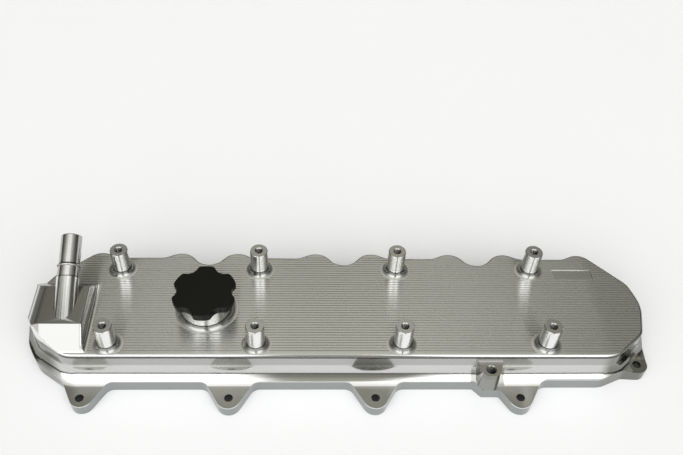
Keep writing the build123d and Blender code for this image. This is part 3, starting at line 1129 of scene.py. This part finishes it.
@dataclass
class TappedHoles:
    """Thread turns in the standoffs and in the boss on the front wall."""

    # A darker copy of the turned aluminium: painted shade on the threads inside the holes.
    metal: TurnedAluminium = TurnedAluminium(
        light=(0.34, 0.34, 0.33), dark=(0.22, 0.22, 0.21), roughness=0.24, tilt_deg=90.0
    )
    small: ThreadTurns = field(
        default_factory=lambda: ThreadTurns(
            radius=2.68 * MM, pitch=1.0 * MM, turns=13.0, section=0.34 * MM
        )
    )
    large: ThreadTurns = field(
        default_factory=lambda: ThreadTurns(
            radius=3.44 * MM, pitch=1.25 * MM, turns=12.0, section=0.42 * MM
        )
    )
    bay_mm: float = 111.76
    places_mm: tuple[float, ...] = (-1.5 * bay_mm, -0.5 * bay_mm, 0.5 * bay_mm, 1.5 * bay_mm)
    rows_mm: tuple[float, float] = (0.0, 74.9)
    floor_mm: float = 46.0
    boss_mm: tuple[float, float, float] = (123.2, -18.4, 14.0)

    def build(self) -> list[bpy.types.Object]:
        """The turns in all nine holes.

        Returns:
            The pieces.
        """
        metal = self.metal.build("tapped_aluminium_painted_shade")
        starts = [place(x, y, self.floor_mm) for y in self.rows_mm for x in self.places_mm]
        posts = self.small.build("standoff_threads", starts, metal)
        boss = self.large.build("side_boss_threads", [place(*self.boss_mm)], metal)
        for piece in (posts, boss):
            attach(piece, "cover")
        return [posts, boss]


@dataclass
class VentTube:
    """The turned hose spigot."""

    metal: TurnedAluminium = TurnedAluminium(
        light=(0.54, 0.53, 0.51),
        dark=(0.42, 0.41, 0.395),
        roughness=0.17,
        tilt_deg=26.0,
        marks=(mm(50.4, 51.1), mm(40.1, 40.6)),
    )

    def build(self) -> list[bpy.types.Object]:
        """The tube.

        Returns:
            The piece.
        """
        tube = SolidCopy("vent_tube").build("hose_spigot", self.metal.build("turned_aluminium"))
        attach(tube, "cover")
        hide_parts("vent_tube")
        return [tube]


@dataclass
class FillerCap:
    """The screw-in filler cap and the ring under its head."""

    black: BlackAnodised = BlackAnodised()
    rubber: Rubber = Rubber()

    def build(self) -> list[bpy.types.Object]:
        """The cap and its ring.

        Returns:
            The pieces.
        """
        cap = SolidCopy("filler_cap").build("lobed_cap", self.black.build("black_anodised"))
        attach(cap, "cap")
        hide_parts("filler_cap")
        rubber = self.rubber.build("ring_rubber")
        ring = SolidCopy("filler_cap_o_ring").build("cap_ring_cord", rubber)
        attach(ring, "cap_ring")
        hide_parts("filler_cap_o_ring")
        return [cap, ring]


@dataclass
class Baffle:
    """The sheet plate under the vent passage with its four screws."""

    sheet: MilledAluminium = MilledAluminium(roughness=0.34)
    steel: PlatedSteel = PlatedSteel()

    def build(self) -> list[bpy.types.Object]:
        """The plate and its screws.

        Returns:
            The pieces.
        """
        plate = SolidCopy("baffle_plate").build("vent_baffle", self.sheet.build("sheet_aluminium"))
        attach(plate, "cover")
        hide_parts("baffle_plate")
        screws = SolidCopy("baffle_screw").build("baffle_screws", self.steel.build("plated_steel"))
        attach(screws, "cover")
        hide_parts("baffle_screw")
        return [plate, screws]


# Studio ---------------------------------------------------------------------------------------


@dataclass(frozen=True)
class PhotoCamera:
    """The photograph's camera, in pixels and degrees, with its place in metres."""

    width: float = 683.0
    height: float = 455.0
    focal: float = 788.70
    centre_u: float = 329.89
    centre_v: float = 239.33
    pitch_deg: float = 47.06
    yaw_deg: float = 3.06
    roll_deg: float = 2.58
    offset_mm: tuple[float, float, float] = (-1.55, 105.02, 628.44)
    sensor_mm: float = 36.0
    nearest: float = 0.01
    farthest: float = 100.0

    def axes(self) -> Matrix:
        """The picture's axes.

        Returns:
            The turn from the part's axes to right, down and forward in the picture.
        """
        pitch, yaw, roll = (math.radians(a) for a in (self.pitch_deg, self.yaw_deg, self.roll_deg))
        turn = Matrix.Rotation(yaw, 3, "Z")
        down, ahead = math.sin(pitch), math.cos(pitch)
        level = Matrix(((1, 0, 0), (0, -down, -ahead), (0, ahead, -down)))
        lean = Matrix.Rotation(roll, 3, "Z")
        return lean @ level @ turn

    def build(self) -> bpy.types.Object:
        """The camera, set as the scene's own.

        Returns:
            The camera object.
        """
        data = bpy.data.cameras.new("photo_camera")
        data.sensor_width = self.sensor_mm
        data.lens = self.focal / self.width * self.sensor_mm
        data.shift_x = (self.width / 2 - self.centre_u) / self.width
        data.shift_y = (self.centre_v - self.height / 2) / self.width
        data.clip_start = self.nearest
        data.clip_end = self.farthest
        camera = bpy.data.objects.new("photo_camera", data)
        axes = self.axes()
        turn = Matrix((axes[0], -axes[1], -axes[2])).transposed()
        spot = place(*(axes.transposed() @ -Vector(self.offset_mm)))
        camera.matrix_world = Matrix.Translation(spot) @ turn.to_4x4()
        bpy.context.scene.collection.objects.link(camera)
        bpy.context.scene.camera = camera
        return camera


@dataclass(frozen=True)
class RoomLight:
    """The room's own soft light, by direction alone.

    Two values are where a part of the room begins and where it is full. A rise is the direction's
    height from 0 at the horizon to 1 overhead, and a bearing is its way sideways over its way
    forwards.
    """

    back: float = 0.216
    back_middle: float = 0.1728
    back_high: float = 0.594
    middle_rise: Span = (0.55, 0.76)
    high_rise: Span = (0.76, 0.92)
    right_loss: float = 0.50
    right_side: Span = (0.10, 0.42)
    left_loss: float = 0.45
    left_side: Span = (0.06, 0.34)
    back_tint: Colour = (1.0, 1.0, 0.84)
    window: Colour = (2.5, 2.5, 2.5)
    window_rise: Span = (0.14, 0.26)
    window_front: Span = (-0.05, 0.15)
    forwards: Span = (-0.02, 1.02)
    gap_loss: float = 0.97
    gap_left: Span = (-0.10, -0.03)
    gap_right: Span = (0.21, 0.13)
    gap_rise: Span = (0.97, 0.90)
    flank: Span = (1.2, 2.4)
    flank_right_loss: float = 0.8
    flank_left_loss: float = 0.7
    ceiling: Colour = (1.4, 1.4, 1.4)
    ceiling_rise: Span = (0.93, 0.98)
    low: Colour = (0.04, 0.04, 0.04)
    low_rise: Span = (0.24, 0.17)
    low_front: Span = (-0.6, 0.2)
    horizon: Colour = (0.93, 0.93, 0.92)
    horizon_rise: Span = (0.07, 0.045)

    def build(self, name: str) -> bpy.types.World:
        """The room.

        Args:
            name: The world's name.

        Returns:
            A world with a bright front window, a dim back, a pale ceiling and a pale horizon.
        """
        world = bpy.data.worlds.new(name)
        world.use_nodes = True
        shader = Nodes(world.node_tree)
        side, depth, rise = shader.split(shader.node("ShaderNodeTexCoord", "Generated"))
        sides = 1.0 - self.right_loss * side.ramp(*self.right_side)
        sides = sides - self.left_loss * (-side).ramp(*self.left_side)
        back = self.back + self.back_middle * rise.ramp(*self.middle_rise)
        back = (back + self.back_high * rise.ramp(*self.high_rise)) * sides
        tone = shader.mixed(back, (0.0, 0.0, 0.0), self.back_tint)
        bearing = side / (-depth).ramp(*self.forwards)
        gap = bearing.ramp(*self.gap_left) * bearing.ramp(*self.gap_right)
        gap = gap * rise.ramp(*self.gap_rise)
        flank = 1.0 - self.flank_right_loss * bearing.ramp(*self.flank)
        flank = flank - self.flank_left_loss * (-bearing).ramp(*self.flank)
        window = rise.ramp(*self.window_rise) * (-depth).ramp(*self.window_front)
        tone = shader.mixed(window * flank * (1.0 - self.gap_loss * gap), tone, self.window)
        tone = shader.mixed(rise.ramp(*self.ceiling_rise), tone, self.ceiling)
        low = rise.ramp(*self.low_rise) * (-depth).ramp(*self.low_front)
        tone = shader.mixed(low, tone, self.low)
        tone = shader.mixed(rise.ramp(*self.horizon_rise), tone, self.horizon)
        glow = shader.node("ShaderNodeBackground", "Background", Color=tone, Strength=1.0)
        shader.end("ShaderNodeOutputWorld", "Surface", glow)
        return world


@dataclass
class Studio:
    """Pale floor, soft room light and the camera."""

    floor_half: float = 12.0
    paper: StudioPaper = StudioPaper()
    light: RoomLight = RoomLight()
    camera: PhotoCamera = PhotoCamera()

    def floor(self) -> bpy.types.Object:
        """The floor under the cover.

        Returns:
            The floor.
        """
        mesh = bpy.data.meshes.new("studio_floor")
        half = self.floor_half
        sheet = [(-half, -half, 0), (half, -half, 0), (half, half, 0), (-half, half, 0)]
        mesh.from_pydata(sheet, [], [(0, 1, 2, 3)])
        floor = link("studio_floor", mesh, self.paper.build("studio_paper"))
        return floor

    def build(self) -> None:
        """Floor, room and camera."""
        self.floor()
        bpy.context.scene.world = self.light.build("studio_room")
        self.camera.build()
        bpy.context.scene.view_settings.view_transform = "Standard"


def main() -> None:
    """Builds every sub-assembly in order and the studio around them."""
    logging.basicConfig(level=logging.INFO)
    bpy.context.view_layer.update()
    for part in (Cover(), TappedHoles(), VentTube(), FillerCap(), Baffle()):
        for piece in part.build():
            faces = len(piece.data.polygons)
            LOG.info("%s: %s with %d faces", type(part).__name__, piece.name, faces)
    Studio().build()


if __name__ == "__main__":
    main()
